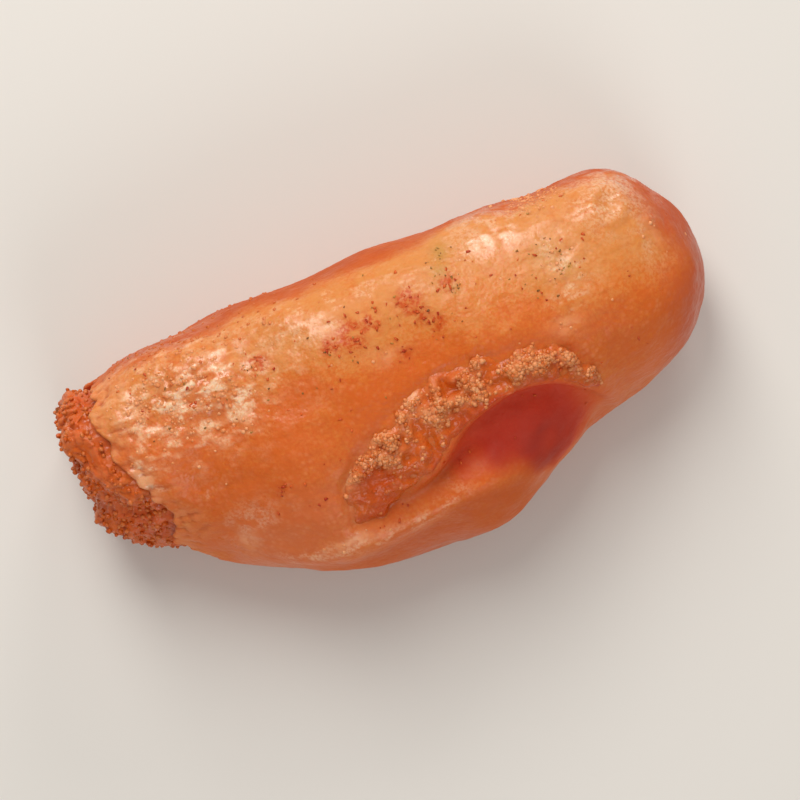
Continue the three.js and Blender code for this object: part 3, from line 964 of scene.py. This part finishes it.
def makeGrains(material, onSkin, onFace, onStrip):
    # grains on the broken face, on the strip's clumps, and in the skin where it is wrinkled and wet
    rng = np.random.default_rng(5)
    places, numbers = grainsOn(*onFace, roe["eggs"], grains["tornSink"])
    keep = rng.random(len(places)) < grains["tornKeep"]
    places, numbers = places[keep], numbers[keep]
    places[:, 0] = np.maximum(places[:, 0], roe["furthest"] + 0.3)
    radii = grains["radius"] * rng.uniform(*grains["tornSizes"], len(places))
    # crimson on the lowest grains as painted shade; the gap layer here is a random darker tone of single
    # grains
    shades = {"eggPale": 0.25 * numbers, "eggGap": 0.35 + 0.35 * (1 - numbers),
              "depth": np.clip(0.3 - 0.05 * places[:, 2], 0, 0.5), "chili": 0.3 * (numbers < 0.3)}
    scatterBalls("torn_grains", places, radii, shades, material, 6)
    places, radii, numbers = pickGrains(rng, *onStrip, grains["stripCount"], grains["stripSink"])
    red = spots(places[:, 0], places[:, 1], streak["red"])
    shades = {"eggPale": 0.1 + 0.6 * numbers, "eggGap": 0.3 * (1 - numbers), "depth": 0 * numbers,
              "chili": red + 0.4 * (numbers < 0.2)}
    scatterBalls("strip_grains", places, radii, shades, material, 8)
    points, normals, masks = onSkin
    x, y = points[..., 0], points[..., 1]
    chance = masks["facing"] * (masks["patch"] + 0.45 * masks["pale"] + 0.08 * masks["tip"]) ** 1.5
    chance = chance + 0.25 * bell(x + 16, 9) * ease(6.5, 8.5, y)
    chance = (chance + 2.5 * oval(x, y, *regions["crumbs"])) * (1 - masks["edge"])
    places, radii, numbers = pickGrains(
        rng, points, normals, chance, grains["skinCount"], grains["skinSink"])
    # grains along the far rim are darker and less pale, as painted shade
    onRim = ease(7, 9, places[:, 1]) * (places[:, 0] < 10)
    shades = {"eggPale": (0.3 + 0.7 * numbers) * (1 - 0.8 * onRim), "eggGap": 0.5 * onRim,
              "depth": 0 * numbers, "chili": 0.5 * (numbers < 0.08)}
    scatterBalls("skin_grains", places, grains["skinSize"] * radii, shades, material, 9)


# Each spice: spots with some flakes round each, clumps as X, Y, their spreads and number, loose
# flakes in bands as first and last X, middle and spread of Y and number, then sizes and colours.
spices = {
    "chili_chips": {
        "spots": chiliSpots, "clumps": ((-4.1, -10.4, 1, 1.2, 40),),
        "bands": ((-24, 24, 2.5, 3.4, 70), (-14, 17, -7, 3, 30)), "sizes": (0.07, 0.2), "seed": 13,
        "finish": ("chiliChip", (0.42, 0.03, 0.006, 1), (0.74, 0.13, 0.02, 1)),
    },
    "pepper_specks": {
        "spots": oliveSpots, "clumps": (),
        "bands": ((-22, 20, 3.5, 2.8, 60),), "sizes": (0.05, 0.13), "seed": 14,
        "finish": ("pepperSpeck", (0.2, 0.08, 0.02, 1), (0.44, 0.24, 0.04, 1)),
    },
}
# How flakes gather round a spot, tilt, stretch and lie on the skin.
flakes = {"perSpot": 8, "gather": 0.8, "tilt": 0.35, "long": (1, 1.7), "wide": (0.6, 1), "lift": 0.04}


def scatterChips(name, surface, outward, sizes, material, seed):
    # copies of the chip laid on the surface, turned and tilted at random, longer than wide
    rng = np.random.default_rng(seed)
    flake, faces = flakeChip()
    count = len(surface)
    tilted = unit(outward + flakes["tilt"] * rng.normal(size=(count, 3)))
    sideways = unit(np.cross(tilted, rng.normal(size=(count, 3))))
    frames = np.stack([sideways, np.cross(tilted, sideways), tilted], 1)
    stretch = np.stack([rng.uniform(*flakes["long"], count), rng.uniform(*flakes["wide"], count),
                        np.ones(count)], -1)
    local = flake[None] * (stretch * sizes[:, None])[:, None, :]
    chips = np.einsum("nki,nij->nkj", local, frames) + (surface + flakes["lift"] * outward)[:, None, :]
    meshCopies(name, chips, faces, {"tone": rng.random(count)}, material)


def spicePlaces(rng, spice):  # places in plan, gathered round the spots and clumps or loose in bands
    middles = np.repeat(np.array(spice["spots"]), flakes["perSpot"], axis=0)
    places = [middles[:, :2] + rng.normal(size=(len(middles), 2)) * middles[:, 2:3] * flakes["gather"]]
    for x, y, long, wide, count in spice["clumps"]:
        places.append(np.array([x, y]) + rng.normal(size=(count, 2)) * np.array([long, wide]))
    for fromX, toX, middleY, spread, count in spice["bands"]:
        places.append(np.stack([rng.uniform(fromX, toX, count), rng.normal(middleY, spread, count)], -1))
    return np.concatenate(places)


def makeSpices(wetGroup, points, normals):  # chili, then pepper, from one run of random numbers
    rng = np.random.default_rng(12)
    for name, spice in spices.items():
        surface, outward = surfaceAt(points, normals, *spicePlaces(rng, spice).T)
        sizes = rng.uniform(*spice["sizes"], len(surface))
        material = makeFlakeMaterial(*spice["finish"], wetGroup)
        scatterChips(name, surface, outward, sizes, material, spice["seed"])


def makeLobe():
    groups = makeTintGroup(), makeWetGroup()
    onSkin = makeSkin(makeSkinMaterial(*groups))
    packedRoe = makeRoeMaterial("packedRoe", colours["orange"], *groups)
    onFace = makeRoe(packedRoe)
    onStrip = makeStrip(packedRoe)
    makeGrains(makeRoeMaterial("wetGrain", colours["amber"], *groups), onSkin, onFace, onStrip)
    makeSpices(groups[1], *onSkin[:2])


# Each lamp's direction is right, up and towards the viewer as the camera sees it. The window is a
# tall one beyond the far side.
stage = {
    "floorSize": 1.2, "floorColour": (0.73, 0.72, 0.7, 1), "floorRoughness": 0.6,
    "roomColour": (1, 0.95, 0.88, 1), "roomStrength": 0.4,
    "lens": 200, "sensor": 36, "fill": 0.86, "roll": math.radians(-19.7), "clip": (0.01, 10),
    "lamps": {
        "window": {"towards": (-0.26, 0.6, 0.76), "distance": 0.5, "wide": 0.2, "tall": 0.42,
                   "power": 1.6, "colour": (1, 0.955, 0.89)},
        "tipWindow": {"towards": (0.17, 0.87, 0.45), "distance": 0.5, "wide": 0.17, "tall": 0.17,
                      "power": 0.5, "colour": (1, 0.96, 0.9)},
        "fill": {"towards": (0.35, -0.8, 0.7), "distance": 0.6, "wide": 0.3, "tall": 0.3,
                 "power": 0.8, "colour": (1, 0.95, 0.92)},
    },
}


def seenDirection(right, up, towards):  # a direction as the camera sees it, turned into the frame
    cos, sin = math.cos(stage["roll"]), math.sin(stage["roll"])
    return Vector((right * cos - up * sin, right * sin + up * cos, towards)).normalized()


def addLight(name, towards, distance, wide, tall, power, colour):
    light = bpy.data.lights.new(name, "AREA")
    light.shape = "ELLIPSE"
    light.size, light.size_y, light.energy, light.color = wide, tall, power, colour
    lamp = addObject(name, light)
    direction = seenDirection(*towards)
    lamp.location = direction * distance
    lamp.rotation_euler = direction.to_track_quat("Z", "Y").to_euler()


def makeStage():
    half = stage["floorSize"] / 2
    mesh = bpy.data.meshes.new("floor")
    mesh.from_pydata([(-half, -half, 0), (half, -half, 0), (half, half, 0), (-half, half, 0)], [],
                     [(0, 1, 2, 3)])
    material, _, shader = newMaterial("paleFloor")
    shader.inputs["Base Color"].default_value = stage["floorColour"]
    shader.inputs["Roughness"].default_value = stage["floorRoughness"]
    mesh.materials.append(material)
    floor = addObject("floor", mesh)
    floor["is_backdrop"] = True
    for name, lamp in stage["lamps"].items():
        addLight(name, **lamp)
    world = bpy.data.worlds.new("softRoom")
    world.use_nodes = True
    background = world.node_tree.nodes["Background"]
    background.inputs["Color"].default_value = stage["roomColour"]
    background.inputs["Strength"].default_value = stage["roomStrength"]
    scene = bpy.context.scene
    scene.world = world
    low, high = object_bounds()
    camera = bpy.data.cameras.new("camera")
    camera.lens, camera.sensor_width = stage["lens"], stage["sensor"]
    camera.clip_start, camera.clip_end = stage["clip"]
    viewer = addObject("camera", camera)
    distance = (high.x - low.x) / stage["fill"] * stage["lens"] / stage["sensor"]
    viewer.location = ((low.x + high.x) / 2, (low.y + high.y) / 2, high.z + distance)
    viewer.rotation_euler = (0, 0, stage["roll"])
    scene.camera = viewer
    scene.view_settings.view_transform = "Standard"
    print(f"stage: floor, {len(stage['lamps'])} lamps and a camera {distance:.2f} m above the lobe")


def formShift():
    # moves the form so that its outside's box is centred like the frame's on Y, and its tip ends
    # where the frame's does
    outside = outsidePoints(np.linspace(0, 0.99, 100)[:, None], np.linspace(0, fullTurn, 180)[None, :])
    middleY = (outside[..., 1].min() + outside[..., 1].max()) / 2
    return np.array([cadHigh.x / mm - lobe["tipX"], (cadLow.y + cadHigh.y) / 2 / mm - middleY, 0])


shift = formShift()
makeLobe()
makeStage()
